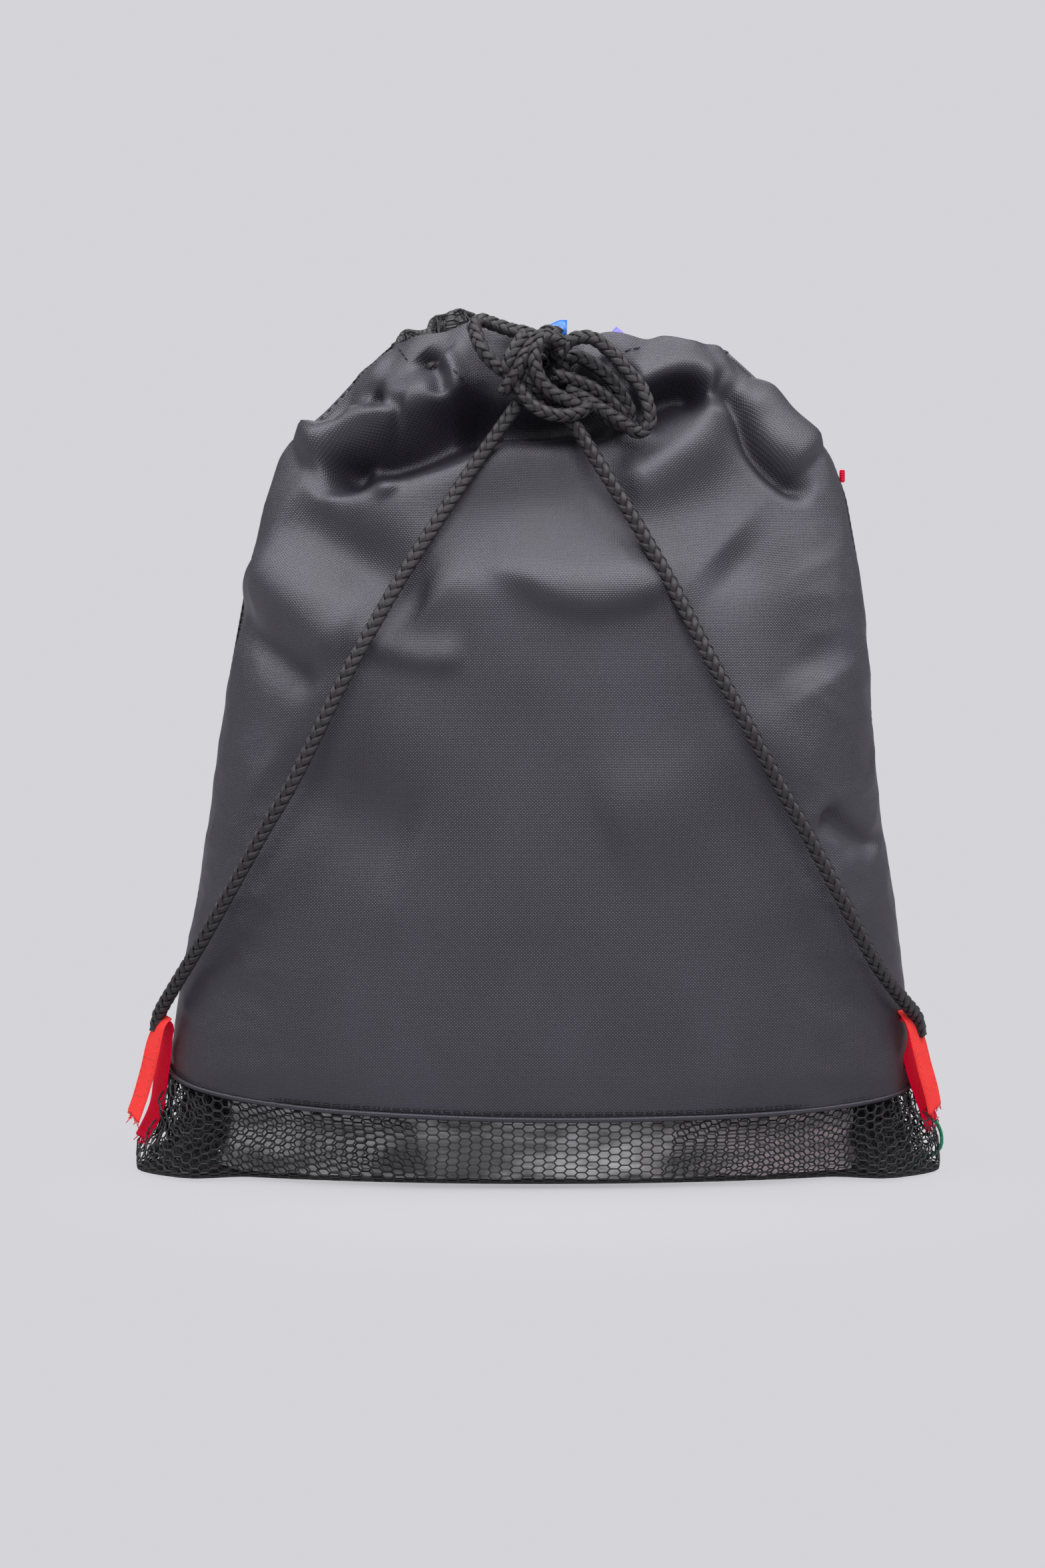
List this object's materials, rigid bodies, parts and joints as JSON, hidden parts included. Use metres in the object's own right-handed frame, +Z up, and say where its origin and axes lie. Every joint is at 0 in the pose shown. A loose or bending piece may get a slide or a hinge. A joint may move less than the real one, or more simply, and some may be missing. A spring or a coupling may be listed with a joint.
{
  "type": "sack race bag",
  "caption": "Filled drawstring backpack bag for jumping sacks: woven cloth over a mesh strip, mouth drawn in and tied in a bow, cord shoulder straps to webbing tabs.",
  "frame": {"origin": "middle of the flat face that the bag stands on, under the bottom seam", "axes": "+Z up, +X to the right as seen from the strap side, which faces -Y"},
  "size_m": [0.3296, 0.129, 0.3369],
  "materials": {
    "cloth": "satin",
    "mesh": "matte",
    "edge_thread": "matte",
    "cord": "satin",
    "webbing": "satin",
    "tab_thread": "matte",
    "film": "gloss",
    "blue_cloth": "satin",
    "purple_cloth": "satin",
    "red_cloth": "satin",
    "green_cloth": "satin"
  },
  "bodies": {
    "bag": {"strap_side_panel": "cloth", "strap_side_channel": "cloth", "strap_side_mesh_edge": "cloth", "rear_mesh_edge": "cloth", "left_side_seam": "cloth", "right_side_seam": "cloth", "strap_side_mesh": "mesh", "rear_mesh": "mesh", "rear_panel": "mesh", "rear_channel": "mesh", "bottom_seam": "edge_thread", "channel_cord": "cord", "knot": "cord", "clear_sleeve": "film", "blue_sack": "blue_cloth", "purple_sack": "purple_cloth", "red_sack": "red_cloth", "green_sack": "green_cloth"},
    "left_strap": {"left_strap_cord": "cord", "left_tab": "webbing", "left_tab_stitching": "tab_thread"},
    "right_strap": {"right_strap_cord": "cord", "right_tab": "webbing", "right_tab_stitching": "tab_thread"},
    "left_loop": {"left_bow_loop": "cord"},
    "right_outer_loop": {"right_outer_bow_loop": "cord"},
    "right_inner_loop": {"right_inner_bow_loop": "cord"},
    "label": {"side_label": "webbing"}
  },
  "joints": [
    {"name": "left_strap_swing", "type": "hinge", "parent": "bag", "child": "left_strap", "pos_m": [-0.158, -0.01, 0.015], "axis": [-0.4558, 0.089, -0.8856], "range_deg": [0, 10]},
    {"name": "right_strap_swing", "type": "hinge", "parent": "bag", "child": "right_strap", "pos_m": [0.158, -0.01, 0.02], "axis": [-0.4558, -0.089, 0.8856], "range_deg": [0, 10]},
    {"name": "left_loop_lift", "type": "hinge", "parent": "bag", "child": "left_loop", "pos_m": [-0.007, -0.0365, 0.3205], "axis": [0.6529, 0.272, 0.7069], "range_deg": [0, 35]},
    {"name": "right_outer_loop_lift", "type": "hinge", "parent": "bag", "child": "right_outer_loop", "pos_m": [0.0085, -0.04, 0.3135], "axis": [0.2251, 0, -0.9743], "range_deg": [0, 30]},
    {"name": "right_inner_loop_lift", "type": "hinge", "parent": "bag", "child": "right_inner_loop", "pos_m": [0.0095, -0.0315, 0.3125], "axis": [0.1098, -0.1098, -0.9879], "range_deg": [0, 24]},
    {"name": "side_label_flap", "type": "hinge", "parent": "bag", "child": "label", "pos_m": [0.1202, 0.0019, 0.274], "axis": [0, 0, 1], "range_deg": [-75, 0]}
  ],
  "couplings": [
    {"joint": "right_inner_loop_lift", "follows": "right_outer_loop_lift", "ratio": 0.8}
  ]
}
